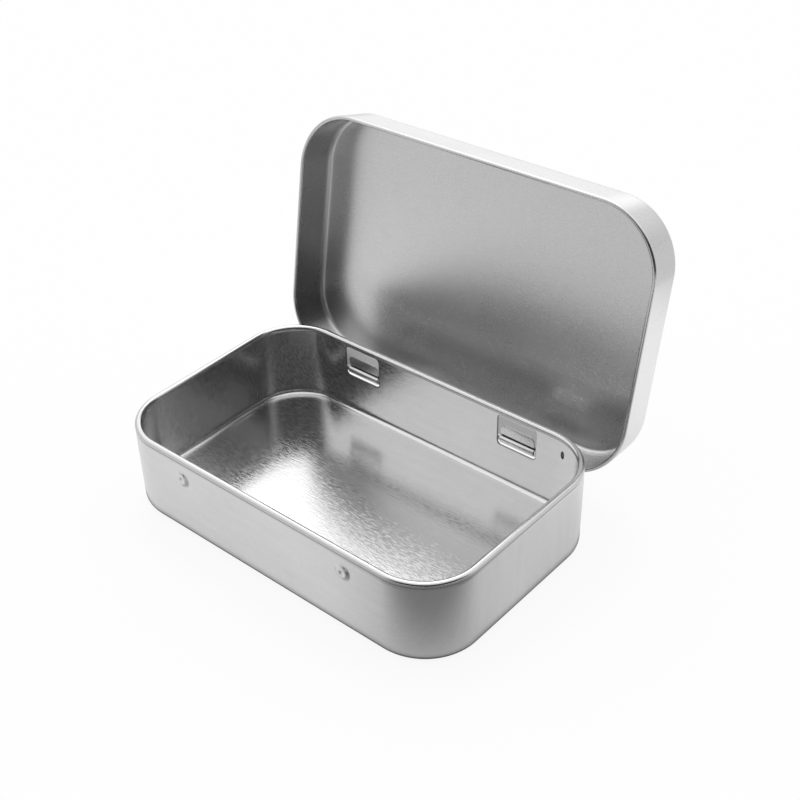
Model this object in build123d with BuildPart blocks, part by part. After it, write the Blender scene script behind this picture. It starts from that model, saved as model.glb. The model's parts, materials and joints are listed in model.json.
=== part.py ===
from build123d import *
import os

# A hinged mint tin of thin pressed tinplate, drawn with its lid open.
# +X runs along the tin's length, +Y back to the hinge and +Z up.
# The origin is the centre of the tray's underside. All lengths are in millimetres.

# Overall form
LID_LENGTH = 95.0
LID_WIDTH = 61.2
LID_CORNER_RADIUS = 14.8
LID_DEPTH = 10.0
TRAY_HEIGHT = 20.5
SHEET = 0.25

# Pressed edges and rolled rims
TRAY_BOTTOM_RADIUS = 1.6
LID_PANEL_RADIUS = 1.3
LID_DRAFT_ANGLE = 5.4
TRAY_RIM_DIAMETER = 1.5
LID_RIM_DIAMETER = 0.9
RIM_ROLL_ANGLE = 290.0

# Hinge: two bars on the tray, and two lid tongues that roll round them.
# The setback runs from where the back's straight run ends to the middle of a hinge.
HINGE_SETBACK = 10.2
BAR_RADIUS = 0.7
BAR_SEAT_DEPTH = 0.05
BAR_LAP = 1.4
BAR_END_RADIUS = 0.5
TONGUE_WIDTH = 9.0
TONGUE_ROOT = 0.05
TONGUE_ROLL_ANGLE = 130.0
TONGUE_BEND_RADIUS = 0.5
TONGUE_FLANGE = 3.0
TONGUE_TIP_RADIUS = 1.0
LID_OPEN_ANGLE = 100.0
HALF_TURN = 180.0

# Windows in the tray's back wall
WINDOW_HEIGHT = 7.9
WINDOW_CORNER_RADIUS = 1.0

# Detent pips on the tray's front wall
PIP_SPACING = 46.0
PIP_DIAMETER = 2.6
PIP_RISE = 0.35
PIP_BELOW_TOP = 5.1

# Running clearances
HEADROOM = 0.25
HINGE_CLEARANCE = 0.05
WINDOW_SIDE_CLEARANCE = 0.6
WINDOW_SILL_CLEARANCE = 0.3
RIM_GAP_CLEARANCE = 0.3

# How far every cutting body runs past what it cuts
OVERRUN = 2.0

# Hinge sizes that follow
ROLL_RADIUS = BAR_RADIUS + HINGE_CLEARANCE + SHEET
AXIS_STANDOFF = BAR_RADIUS - BAR_SEAT_DEPTH
OVERHANG = AXIS_STANDOFF + ROLL_RADIUS

# Tray sizes that follow
TRAY_LENGTH = LID_LENGTH - 2 * OVERHANG
TRAY_WIDTH = LID_WIDTH - 2 * OVERHANG
TRAY_CORNER_RADIUS = LID_CORNER_RADIUS - OVERHANG
TRAY_WALL_TOP = TRAY_HEIGHT - TRAY_RIM_DIAMETER / 2

# Hinge places that follow
CLOSED_HEIGHT = TRAY_HEIGHT + HEADROOM + SHEET
HINGE_Y = TRAY_WIDTH / 2 + AXIS_STANDOFF
HINGE_Z = CLOSED_HEIGHT - LID_DEPTH + LID_RIM_DIAMETER / 2 - TONGUE_ROOT
HINGE_X = LID_LENGTH / 2 - LID_CORNER_RADIUS - HINGE_SETBACK
HINGE_PLACES = {"left": -HINGE_X, "right": HINGE_X}

# The skirt's sheet ends, and its rim begins, just above the hinge axis when the lid is shut
SKIRT_HEIGHT = CLOSED_HEIGHT - HINGE_Z - TONGUE_ROOT

# Window and bar sizes that follow
WINDOW_WIDTH = TONGUE_WIDTH + 2 * WINDOW_SIDE_CLEARANCE
WINDOW_SILL = HINGE_Z - ROLL_RADIUS - WINDOW_SILL_CLEARANCE
BAR_LENGTH = WINDOW_WIDTH + 2 * BAR_LAP
RIM_GAP = BAR_LENGTH + 2 * RIM_GAP_CLEARANCE

# A pip is a shallow cap of this ball, pressed out of the sheet
PIP_BALL_RADIUS = (PIP_DIAMETER**2 / 4 + PIP_RISE**2) / (2 * PIP_RISE)
PIP_Y = -TRAY_WIDTH / 2 - PIP_RISE + PIP_BALL_RADIUS
PIP_Z = TRAY_HEIGHT - PIP_BELOW_TOP

# The hinge plane turns with the lid about the hinge axis, and the lid plane lies in it,
# under the middle of the lid
HINGE_PLANE = Plane((0, HINGE_Y, HINGE_Z)).rotated((-LID_OPEN_ANGLE, 0, 0))
LID_PLANE = Plane(HINGE_PLANE.location * Location((0, -HINGE_Y, 0)))
LID_UP = Axis(LID_PLANE.origin, LID_PLANE.z_dir)


def rolled_rim(plane: Plane, length: float, width: float, corner: float, roll: float, turn: float):
    """Add a sheet edge rolled inward to a hollow bead, carried round a rounded rectangle.

    The bead starts flush with the wall's outside, on the plane where the wall ends, and
    rolls through the turn: up and over when it is positive, down and under when negative.
    """
    with BuildSketch(plane, mode=Mode.PRIVATE) as mouth:
        RectangleRounded(length, width, corner)
    path = mouth.sketch.face().outer_wire()
    along = path % 0
    outward = along.cross(plane.z_dir)
    with BuildSketch(Plane(origin=path @ 0, x_dir=outward, z_dir=-along)) as section:
        with BuildLine():
            outside = CenterArc((-roll, 0), roll, 0, turn)
            inside = CenterArc((-roll, 0), roll - SHEET, 0, turn)
            Line(outside @ 0, inside @ 0)
            Line(outside @ 1, inside @ 1)
        make_face()
    sweep(section.sketch, path=path)


# Tray: the deep lower shell, drawn from one sheet
with BuildPart() as tray:
    with BuildSketch():
        RectangleRounded(TRAY_LENGTH, TRAY_WIDTH, TRAY_CORNER_RADIUS)
    extrude(amount=TRAY_WALL_TOP)
    fillet(tray.faces().sort_by(Axis.Z)[0].edges(), radius=TRAY_BOTTOM_RADIUS)
    with Locations((-PIP_SPACING / 2, PIP_Y, PIP_Z), (PIP_SPACING / 2, PIP_Y, PIP_Z)):
        Sphere(PIP_BALL_RADIUS)
    offset(amount=-SHEET, openings=tray.faces().sort_by(Axis.Z)[-1])
    with BuildSketch(Plane.XZ.offset(-TRAY_WIDTH / 2 - OVERRUN)):
        with Locations(*[(x, WINDOW_SILL + WINDOW_HEIGHT / 2) for x in HINGE_PLACES.values()]):
            RectangleRounded(WINDOW_WIDTH, WINDOW_HEIGHT, WINDOW_CORNER_RADIUS)
    extrude(amount=SHEET + 2 * OVERRUN, mode=Mode.SUBTRACT)

# Tray rim: the mouth's edge, rolled up and over towards the inside
with BuildPart() as tray_rim:
    rolled_rim(
        Plane.XY.offset(TRAY_WALL_TOP),
        TRAY_LENGTH,
        TRAY_WIDTH,
        TRAY_CORNER_RADIUS,
        TRAY_RIM_DIAMETER / 2,
        RIM_ROLL_ANGLE,
    )

# Lid: the shallow upper shell, slightly drafted towards its panel
def drafted_block(inset: float) -> Part:
    """Make the lid's outer form, or the hollow in it when it is inset by the sheet."""
    with BuildPart() as block:
        with BuildSketch(LID_PLANE.offset(TONGUE_ROOT)):
            RectangleRounded(LID_LENGTH - 2 * inset, LID_WIDTH - 2 * inset, LID_CORNER_RADIUS - inset)
        extrude(amount=SKIRT_HEIGHT - inset, taper=LID_DRAFT_ANGLE)
        fillet(block.faces().sort_by(LID_UP)[-1].edges(), radius=LID_PANEL_RADIUS - inset)
    return block.part


with BuildPart() as lid:
    add(drafted_block(0))
    add(drafted_block(SHEET), mode=Mode.SUBTRACT)

# Lid rim: the skirt's edge, rolled down and under, and cut away round each hinge
with BuildPart() as whole_lid_rim:
    rolled_rim(
        LID_PLANE.offset(TONGUE_ROOT),
        LID_LENGTH,
        LID_WIDTH,
        LID_CORNER_RADIUS,
        LID_RIM_DIAMETER / 2,
        -RIM_ROLL_ANGLE,
    )
    with BuildSketch(HINGE_PLANE.offset(TONGUE_ROOT)):
        with Locations(*[(x, ROLL_RADIUS) for x in HINGE_PLACES.values()]):
            Rectangle(RIM_GAP, 2 * LID_RIM_DIAMETER)
    extrude(amount=LID_RIM_DIAMETER, both=True, mode=Mode.SUBTRACT)

# The cut leaves a short run between the hinges and a long run round the rest
with BuildPart() as lid_rim_back:
    add(whole_lid_rim.solids().sort_by(SortBy.VOLUME)[0])
with BuildPart() as lid_rim:
    add(whole_lid_rim.solids().sort_by(SortBy.VOLUME)[-1])


def make_hinge_bar(x: float) -> Part:
    """Make a round bar that crosses a window, seated flat on the wall's outside at both ends."""
    with BuildPart() as bar:
        with BuildSketch(Plane.YZ.offset(x - BAR_LENGTH / 2)):
            with Locations((HINGE_Y, HINGE_Z)):
                Circle(BAR_RADIUS)
        extrude(amount=BAR_LENGTH)
        fillet(bar.edges().filter_by(GeomType.CIRCLE), radius=BAR_END_RADIUS)
        split(bisect_by=Plane.XZ.offset(-TRAY_WIDTH / 2), keep=Keep.BOTTOM)
    return bar.part


def make_hinge_tongue(x: float) -> Part:
    """Make a strip that runs down from the skirt, rolls under the bar and stands up behind it."""
    middle_radius = ROLL_RADIUS - SHEET / 2
    flange_bend = LID_OPEN_ANGLE + TONGUE_ROLL_ANGLE - HALF_TURN
    side_plane = Plane((x, HINGE_Y, HINGE_Z), x_dir=HINGE_PLANE.y_dir, z_dir=HINGE_PLANE.x_dir)
    with BuildPart() as tongue:
        with BuildSketch(side_plane):
            with BuildLine():
                root = Line((middle_radius, TONGUE_ROOT), (middle_radius, 0))
                roll = JernArc(root @ 1, root % 1, middle_radius, -TONGUE_ROLL_ANGLE)
                bend = JernArc(roll @ 1, roll % 1, TONGUE_BEND_RADIUS, flange_bend)
                flange = Line(bend @ 1, bend @ 1 + TONGUE_FLANGE * (bend % 1))
            trace(line_width=SHEET)
        extrude(amount=TONGUE_WIDTH / 2, both=True)
        tip = side_plane.from_local_coords(flange @ 1)
        tip_edges = tongue.faces().sort_by_distance(tip)[0].edges()
        fillet(tip_edges.sort_by(SortBy.LENGTH)[:2], radius=TONGUE_TIP_RADIUS)
    return tongue.part


# Each piece gets its name and its file
PIECES = {
    "tray": tray.part,
    "tray_rim": tray_rim.part,
    "lid": lid.part,
    "lid_rim": lid_rim.part,
    "lid_rim_back": lid_rim_back.part,
}
for side, place in HINGE_PLACES.items():
    PIECES[f"hinge_bar_{side}"] = make_hinge_bar(place)
    PIECES[f"hinge_tongue_{side}"] = make_hinge_tongue(place)

os.makedirs("parts", exist_ok=True)
for name, piece in PIECES.items():
    piece.label = name
    export_step(piece, f"parts/{name}.step")
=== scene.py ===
"""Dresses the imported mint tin: two pressed tinplate shells, their rolled rims and the hinge.

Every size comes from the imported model, or is a named value in metres here. The lid is worked
out shut, standing over the tray, and then turned about the hinge to its place in the frame.
"""

import logging
import math
from dataclasses import dataclass
from enum import Enum
from typing import Any

import bpy
import numpy as np
from mathutils import Matrix, Vector
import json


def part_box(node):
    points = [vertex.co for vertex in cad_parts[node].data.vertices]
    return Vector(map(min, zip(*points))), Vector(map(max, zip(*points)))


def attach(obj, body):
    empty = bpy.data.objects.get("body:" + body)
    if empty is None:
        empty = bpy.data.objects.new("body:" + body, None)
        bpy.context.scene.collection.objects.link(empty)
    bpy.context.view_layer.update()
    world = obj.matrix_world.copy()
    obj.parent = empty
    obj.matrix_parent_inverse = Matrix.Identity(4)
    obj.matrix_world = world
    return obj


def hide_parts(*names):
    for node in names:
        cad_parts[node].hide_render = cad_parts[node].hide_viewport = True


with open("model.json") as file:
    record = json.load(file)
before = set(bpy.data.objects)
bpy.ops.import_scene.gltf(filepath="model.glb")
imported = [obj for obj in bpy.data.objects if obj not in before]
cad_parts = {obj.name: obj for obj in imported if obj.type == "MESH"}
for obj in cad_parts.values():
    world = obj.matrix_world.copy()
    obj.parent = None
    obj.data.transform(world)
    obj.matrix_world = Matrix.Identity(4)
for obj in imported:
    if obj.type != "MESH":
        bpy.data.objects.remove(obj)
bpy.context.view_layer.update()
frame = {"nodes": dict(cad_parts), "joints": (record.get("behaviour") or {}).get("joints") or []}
LOG = logging.getLogger("mint_tin")

MM = 0.001
QUARTER = math.pi / 2
ALONG, BACKWARD, UPWARD = (1.0, 0.0, 0.0), (0.0, 1.0, 0.0), (0.0, 0.0, 1.0)

# One unit of the blank's map is this long
BLANK_UNIT = 0.1

# Cells round a pressed bend, and along half of a bead's front, a corner and an end
BEND_CELLS = 8
RING_CELLS = (30, 28, 20)


class Slot(Enum):
    """The record's material slots."""

    SHEET = "tinplate"
    EDGE = "rolled_edge"


class Body(Enum):
    """The bodies that pieces ride on."""

    TRAY = "tray"
    LID = "lid"


# Shapes


@dataclass(frozen=True)
class Outline:
    """A rounded rectangle, walked anticlockwise by arc length from the middle of its front side."""

    length: float
    width: float
    corner: float

    @property
    def half_front(self) -> float:
        """Half of the straight run at the front."""
        return self.length / 2 - self.corner

    @property
    def side(self) -> float:
        """The straight run at each end."""
        return self.width - 2 * self.corner

    @property
    def arc(self) -> float:
        """The length of one corner's arc."""
        return QUARTER * self.corner

    @property
    def back_start(self) -> float:
        """Arc length where the straight run at the back begins, at its +X end."""
        return self.half_front + 2 * self.arc + self.side

    @property
    def around(self) -> float:
        """The length once round."""
        return 4 * self.half_front + 2 * self.side + 4 * self.arc

    def at(self, s: np.ndarray) -> tuple[np.ndarray, np.ndarray]:
        """Points and outward normals at arc lengths.

        The walk is nine runs in turn, with the front in two halves. A straight adds its
        direction times the distance gone along it, and a corner is its centre plus the radius
        times a unit normal that turns by the distance gone over the radius.

        Args:
            s: Arc lengths, in any shape.

        Returns:
            Points and unit normals in the plane, each of the shape of s with a last axis of 2.
        """
        x, y, r = self.half_front, self.side / 2, self.corner
        out_x, out_y = x + r, y + r
        runs = [
            (x, (0, -out_y), 0.0, None),
            (self.arc, (x, -y), -QUARTER, r),
            (self.side, (out_x, -y), QUARTER, None),
            (self.arc, (x, y), 0.0, r),
            (2 * x, (x, out_y), 2 * QUARTER, None),
            (self.arc, (-x, y), QUARTER, r),
            (self.side, (-out_x, y), 3 * QUARTER, None),
            (self.arc, (-x, -y), 2 * QUARTER, r),
            (x, (-x, -out_y), 0.0, None),
        ]
        s = np.mod(np.asarray(s, float), self.around)
        point = np.zeros(s.shape + (2,))
        normal = np.zeros(s.shape + (2,))
        begin = 0.0
        for run_length, base, heading, radius in runs:
            inside = (s >= begin) & (s <= begin + run_length)
            gone = s[inside] - begin
            if radius is None:
                way = np.array([math.cos(heading), math.sin(heading)])
                point[inside] = np.array(base) + gone[:, None] * way
                normal[inside] = np.array([way[1], -way[0]])
            else:
                turn = heading + gone / radius
                out = np.stack([np.cos(turn), np.sin(turn)], axis=-1)
                point[inside] = np.array(base) + radius * out
                normal[inside] = out
            begin += run_length
        return point, normal


def spread(stops: list[float], counts: list[int]) -> np.ndarray:
    """Stations that keep every stop in order, with a set count of even cells up to the next."""
    parts = [np.linspace(a, b, n, endpoint=False) for a, b, n in zip(stops, stops[1:], counts)]
    return np.concatenate(parts + [np.array(stops[-1:])])


def arc_profile(
    centre: tuple[float, float], radius: float, start: float, turn: float, count: int
) -> np.ndarray:
    """Offsets and heights on an arc: centre plus radius times (cos, sin), turned from outward to up."""
    angle = start + turn * np.linspace(0.0, 1.0, count + 1)
    return np.stack([centre[0] + radius * np.cos(angle), centre[1] + radius * np.sin(angle)], axis=-1)


def bent(profile: np.ndarray) -> np.ndarray:
    """Mark an arc as bent metal: a third column rises and falls as a half sine, a fourth is zero."""
    share = np.linspace(0.0, 1.0, len(profile))
    return np.column_stack([profile, np.sin(np.pi * share), np.zeros(len(profile))])


def eased(share: Any) -> Any:
    """Ease a share from 0 to 1, level at both ends: three squares less two cubes."""
    share = np.clip(share, 0.0, 1.0)
    return share * share * (3 - 2 * share)


def put(name: str, data: Any) -> bpy.types.Object:
    """Add an object of some data to the scene, at the origin.

    Args:
        name: The object's name.
        data: Its mesh or camera.

    Returns:
        The object.
    """
    made = bpy.data.objects.new(name, data)
    bpy.context.scene.collection.objects.link(made)
    return made


class MeshKit:
    """Collects vertices with their places on the blank, bends, painted shade and stains, and faces, for
    one object.
    """

    def __init__(self) -> None:
        """Start empty."""
        self.points: list[np.ndarray] = []
        self.blanks: list[np.ndarray] = []
        self.bends: list[np.ndarray] = []
        self.shades_and_stains: list[np.ndarray] = []
        self.faces: list[np.ndarray] = []
        self.count = 0

    def add(
        self, points: np.ndarray, blanks: np.ndarray, bend: Any = 0.0, stain: Any = 0.0
    ) -> np.ndarray:
        """Add a block of vertices.

        Args:
            points: Places, with a last axis of 3.
            blanks: Places on the flat blank, of the same shape with a last axis of 2.
            bend: How far the sheet is stretched by a bend there, from 0 to 1.
            stain: How far the tone is darkened there, from 0 to 1, mostly painted shade.

        Returns:
            The new vertices' numbers, in the block's shape.
        """
        shape = points.shape[:-1]
        self.points.append(points.reshape(-1, 3))
        self.blanks.append(blanks.reshape(-1, 2))
        self.bends.append(np.broadcast_to(bend, shape).ravel())
        self.shades_and_stains.append(np.broadcast_to(stain, shape).ravel())
        first = self.count
        self.count += int(np.prod(shape))
        return np.arange(first, self.count).reshape(shape)

    def quads(self, corners: np.ndarray) -> None:
        """Add faces from an array of vertex numbers with a last axis of 4 or 3."""
        self.faces.append(corners.reshape(-1, corners.shape[-1]))

    def grid(self, numbers: np.ndarray, keep: np.ndarray | None = None) -> None:
        """Join rows and columns of vertex numbers into quads, in all cells or those to keep.

        Args:
            numbers: Vertex numbers by row and column.
            keep: True for each cell that gets a face, or None for all.
        """
        low, high = numbers[:-1], numbers[1:]
        cells = np.stack([low[:, :-1], low[:, 1:], high[:, 1:], high[:, :-1]], axis=-1)
        self.quads(cells if keep is None else cells[keep])

    def strip(self, loops: list[np.ndarray]) -> None:
        """Join closed loops of vertex numbers, each to the next, with quads."""
        rows = np.stack([np.append(loop, loop[0]) for loop in loops])
        self.grid(rows)

    def fan(self, loop: np.ndarray, centre: int) -> None:
        """Close a loop with triangles to one vertex."""
        self.quads(np.stack([loop, np.roll(loop, -1), np.full_like(loop, centre)], axis=-1))

    def build(self, name: str, place: Matrix, sharp: float = math.radians(50)) -> bpy.types.Object:
        """Make the object, smooth except at edges sharper than an angle.

        Args:
            name: The piece's name.
            place: Turn and shift that is baked into the mesh.
            sharp: The angle between faces past which an edge stays sharp.

        Returns:
            The new object, at the origin.
        """
        mesh = bpy.data.meshes.new(name)
        faces = [face for block in self.faces for face in block.tolist()]
        mesh.from_pydata(np.concatenate(self.points), [], faces)
        mesh.transform(place)
        blank = np.concatenate(self.blanks)
        corners = np.empty(len(mesh.loops), dtype=np.int32)
        mesh.loops.foreach_get("vertex_index", corners)
        layer = mesh.uv_layers.new(name="blank")
        layer.data.foreach_set("uv", (blank[corners] / BLANK_UNIT).astype(np.float32).ravel())
        for key, values in (("bend", self.bends), ("stain", self.shades_and_stains)):
            mark = mesh.attributes.new(key, "FLOAT", "POINT")
            mark.data.foreach_set("value", np.concatenate(values).astype(np.float32))
        mesh.polygons.foreach_set("use_smooth", np.ones(len(mesh.polygons), dtype=bool))
        mesh.set_sharp_from_angle(angle=sharp)
        mesh.validate()
        mesh.update()
        return put(name, mesh)


@dataclass(frozen=True)
class Opening:
    """A rounded window through the sheet: a rectangle in arc length and height."""

    s: float
    z: float
    width: float
    height: float
    corner: float
    margin: float
    edge: float
    # Painted shade on the window's turned edge
    stain: float = 0.62

    CORNER_CELLS = 4

    def loop(self, grow: float, across: int, up: int) -> np.ndarray:
        """The window's outline, grown evenly, as a loop that matches a hole in a grid.

        Each side runs from the middle of one rounded corner to the middle of the next, with
        some cells in each half corner and the rest along the straight.

        Args:
            grow: How far the outline is moved outward.
            across: Cells along the hole's bottom and top.
            up: Cells along the hole's ends.

        Returns:
            Arc lengths and heights, one row for each vertex of the hole.
        """
        radius = self.corner + grow
        half_w, half_h = self.width / 2 + grow, self.height / 2 + grow
        sides = []
        turn = np.linspace(QUARTER / 2, 0, self.CORNER_CELLS, endpoint=False)
        corner = radius * np.stack([np.sin(turn), np.cos(turn)], -1)
        for quarter in range(4):
            cells, run, reach = (up, half_h, half_w) if quarter % 2 else (across, half_w, half_h)
            left = np.array([radius - run, radius - reach]) - corner
            straight = np.linspace(radius - run, run - radius, cells - 2 * self.CORNER_CELLS + 1)
            flat = np.stack([straight, np.full_like(straight, -reach)], -1)
            right = left[::-1] * np.array([-1, 1])
            side = np.concatenate([left, flat, right[:-1]])
            angle = quarter * QUARTER
            turned = np.array([[math.cos(angle), math.sin(angle)], [-math.sin(angle), math.cos(angle)]])
            sides.append(side @ turned)
        return np.concatenate(sides) + np.array([self.s, self.z])


@dataclass(frozen=True)
class Pip:
    """A small oval pressed out of the wall, with a dent in its middle."""

    s: float
    z: float
    half_s: float
    half_z: float
    rise: float
    dent: float
    margin: float
    skins: tuple[bool, ...] = (False, True)
    stain: float = 0.0
    side_shade: float = 0.0

    RINGS = (
        1.15, 1.04, 0.98, 0.92, 0.86, 0.80, 0.74, 0.68, 0.62, 0.55, 0.47, 0.39, 0.32, 0.25, 0.18, 0.09,
    )
    FOOT = (0.55, 1.03)
    HOLLOW = (0.04, 0.42)
    # Painted shade on one side of the cap and of the dent: the ways round, and the bands of radius
    SIDE_SHADE_WAYS = (math.radians(-12), math.radians(168))
    SIDE_SHADE_BANDS = ((0.50, 0.62, 0.94, 1.08), (0.0, 0.10, 0.22, 0.36))

    def lift(self, size: float) -> float:
        """Height at a share of the radius: a cap eased down to its foot, less an eased hollow."""
        return self.rise * self._eased(size, *self.FOOT) - self.dent * self._eased(size, *self.HOLLOW)

    def dark(self, size: float, angle: np.ndarray) -> np.ndarray:
        """How dark it is: by its own darkening, and by painted shade on one side of the cap and of the
        dent.

        Args:
            size: Share of the oval's radius.
            angle: Ways round the oval.

        Returns:
            Darkness from 0 up, for each angle.
        """
        # The mark's own darkening, with painted shade on one side added below
        worn = np.full(angle.shape, self.stain if size < 1.0 else 0.0)
        for way, band in zip(self.SIDE_SHADE_WAYS, self.SIDE_SHADE_BANDS):
            facing = np.clip(np.cos(angle - way), 0.0, 1.0)
            worn += self.side_shade * np.interp(size, band, (0, 1, 1, 0)) * facing
        return worn

    @staticmethod
    def _eased(size: float, top: float, foot: float) -> float:
        """One up to the top's radius, easing to nothing at the foot's."""
        return eased((foot - size) / (foot - top))


class PressedShell:
    """One sheet pressed to an open box: floor, walls and the hollow behind each pressed mark.

    A section of offsets and heights is carried round the outline, from the middle of the
    outside up over the wall's edge and down to the middle of the inside. Both flat middles
    are filled by a patch of straight blends between their four sides.
    """

    SIDE_CELLS = 20
    CORNER_CELLS = (5, 14, 5)
    CORNER_STOP = 4.0 * MM

    # The walls' waves: radians per metre of arc length and of height, phase, and share
    WAVES = ((61.0, 0.0, 0.7, 0.5), (137.0, 90.0, 0.0, 0.3), (263.0, 0.0, 2.1, 0.2))

    # Shares of the way from a hole's edge in the grid to a window's rim
    HOLE_SHARES = (0.4, 0.75, 1.0)

    def __init__(
        self,
        outline: Outline,
        outer: np.ndarray,
        inner: np.ndarray,
        front_stops: tuple[list[float], list[int]],
        wander: float,
        top_darkening: float = 0.0,
    ) -> None:
        """Set the section and the stations round the outline.

        Args:
            outline: The wall's outline at offset zero.
            outer: Section of the outside, from the middle outwards and up.
            inner: Section of the inside, from the edge down and inwards, as many rows as outer.
            front_stops: Places and cell counts along half of the front, from the middle.
            wander: How far the walls stray from true, at most.
            top_darkening: How much darker the tone of the middle that looks up is.
        """
        self.outline = outline
        self.outer = outer
        self.inner = inner
        self.section = np.concatenate([outer, inner])
        self.wander = wander
        self.top_darkening = top_darkening
        self.kit = MeshKit()
        self.s = self._stations(front_stops)
        self.long_cells = 2 * sum(front_stops[1]) + sum(self.CORNER_CELLS)
        self.short_cells = self.SIDE_CELLS + sum(self.CORNER_CELLS)
        self.keep = np.ones((len(self.section) - 1, len(self.s)), dtype=bool)

    def _stations(self, front_stops: tuple[list[float], list[int]]) -> np.ndarray:
        """Arc lengths of all columns, the same on facing sides so that the floor can be gridded.

        Args:
            front_stops: Places and cell counts along half of the front.

        Returns:
            The arc lengths, once round.
        """
        line = self.outline
        half = spread(*front_stops)
        stops = [0.0, self.CORNER_STOP, line.arc - self.CORNER_STOP, line.arc]
        corner = spread(stops, self.CORNER_CELLS)
        side = spread([0.0, line.side], [self.SIDE_CELLS])
        back = np.concatenate([line.half_front - half[::-1], line.half_front + half[1:]])
        runs = [half, corner, side, corner, back, corner, side, corner, line.half_front - half[::-1]]
        begins = np.cumsum([0.0] + [run[-1] for run in runs])
        return np.concatenate([run[:-1] + begin for run, begin in zip(runs, begins)])

    def place(self, s: np.ndarray, offset: np.ndarray, z: np.ndarray) -> tuple[np.ndarray, np.ndarray]:
        """Points of the sheet, and where they lay on the flat blank.

        The wall strays by a sum of sines of arc length and height, fading to nothing at both edges.

        Args:
            s: Arc lengths.
            offset: Distance outside the outline.
            z: Heights.

        Returns:
            Points in space, and points of the blank, where the wall is folded out flat.
        """
        point, normal = self.outline.at(s)
        top, low = self.section[:, 1].max(), self.section[:, 1].min()
        up = np.clip((z - low) / (top - low), 0.0, 1.0)
        wave = sum(np.sin(s * a + z * b + phase) * share for a, b, phase, share in self.WAVES)
        stray = self.wander * np.sin(np.pi * up) * wave
        flat = point + normal * (offset + stray)[..., None]
        unfolded = point + normal * (offset + z - low)[..., None]
        return np.concatenate([flat, z[..., None]], axis=-1), unfolded

    def row_of(self, z: float) -> int:
        """The number of the outside's row nearest a height on the wall."""
        return int(np.argmin(np.abs(self.outer[:, 1] - z)))

    def column_of(self, s: float) -> int:
        """The number of the column nearest an arc length."""
        return int(np.argmin(np.abs(self.s - s)))

    def sheet(self) -> None:
        """Add every wall vertex and both flat middles."""
        s, section = np.meshgrid(self.s, np.arange(len(self.section)))
        points, blanks = self.place(s, self.section[section, 0], self.section[section, 1])
        self.numbers = self.kit.add(points, blanks, self.section[section, 2], self.section[section, 3])
        self._middle(self.numbers[0], False)
        self._middle(self.numbers[-1], True)

    def _middle(self, ring: np.ndarray, upward: bool) -> None:
        """Fill a flat middle: each inner point blends the four sides, less a blend of the corners.

        Args:
            ring: The ring's vertex numbers, from the middle of the front.
            upward: True when the faces look up.
        """
        points = np.concatenate(self.kit.points)
        a, b = self.long_cells, self.short_cells
        walk = np.roll(ring, a // 2)
        front, right = walk[: a + 1], walk[a : a + b + 1]
        back = walk[a + b : 2 * a + b + 1][::-1]
        left = np.append(walk[2 * a + b :], walk[0])[::-1]
        u = np.linspace(0, 1, a + 1)[None, :, None]
        v = np.linspace(0, 1, b + 1)[:, None, None]
        fill = (1 - v) * points[front][None] + v * points[back][None]
        fill += (1 - u) * points[left][:, None] + u * points[right][:, None]
        c00, c10, c01, c11 = (points[n] for n in (front[0], front[-1], back[0], back[-1]))
        fill -= (1 - u) * (1 - v) * c00 + u * (1 - v) * c10 + (1 - u) * v * c01 + u * v * c11
        numbers = np.empty((b + 1, a + 1), dtype=int)
        inner = fill[1:-1, 1:-1]
        numbers[1:-1, 1:-1] = self.kit.add(inner, inner[..., :2], 0.0, self.top_darkening if upward else 0.0)
        numbers[0], numbers[-1], numbers[:, 0], numbers[:, -1] = front, back, left, right
        self.kit.grid(numbers if upward else numbers[:, ::-1])

    def _hole(
        self, s: float, z: float, reach_s: float, reach_z: float, skins: tuple[bool, ...]
    ) -> tuple[np.ndarray, list[np.ndarray], tuple[int, int]]:
        """Leave out the cells around a mark, and give the hole's edge.

        Args:
            s: Arc length of the hole's middle.
            z: Height of its middle.
            reach_s: Half of its length along the wall.
            reach_z: Half of its height.
            skins: The skins that are opened: False for the outside, True for the inside.

        Returns:
            Arc lengths and heights of the edge, anticlockwise seen from outside, each skin's
            vertex numbers there, and how many cells the hole is long and high.
        """
        c0, c1 = self.column_of(s - reach_s), self.column_of(s + reach_s)
        r0, r1 = self.row_of(z - reach_z), self.row_of(z + reach_z)
        long, high = c1 - c0, r1 - r0
        steps = np.repeat([[1, 0], [0, 1], [-1, 0], [0, -1]], [long, high, long, high], axis=0)
        columns, rows = (np.array([c0, r0]) + np.cumsum(steps, axis=0) - steps).T
        edges = []
        for inside in skins:
            first, last = (self._inner_row(r1), self._inner_row(r0)) if inside else (r0, r1)
            self.keep[first:last, c0:c1] = False
            edges.append(self.numbers[self._inner_row(rows) if inside else rows, columns])
        return np.stack([self.s[columns], self.section[rows, 1]], -1), edges, (long, high)

    def _inner_row(self, rows: np.ndarray) -> np.ndarray:
        """The inside's rows at the heights of outside rows."""
        return 2 * len(self.outer) - 1 - rows

    def _ring(self, s: np.ndarray, z: np.ndarray, skin: np.ndarray, stain: Any = 0.0) -> np.ndarray:
        """Add a loop of vertices at arc lengths, heights and offsets."""
        return self.kit.add(*self.place(s, skin, z), 0.0, stain)

    def _skin(self, z: np.ndarray, inside: bool) -> np.ndarray:
        """The offset of the outside or the inside at heights on the wall.

        Args:
            z: The heights.
            inside: True for the inside.

        Returns:
            An offset for each height.
        """
        rows = len(self.outer)
        section = self.section[rows:][::-1] if inside else self.section[:rows]
        return np.interp(z, section[:, 1], section[:, 0])

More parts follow.
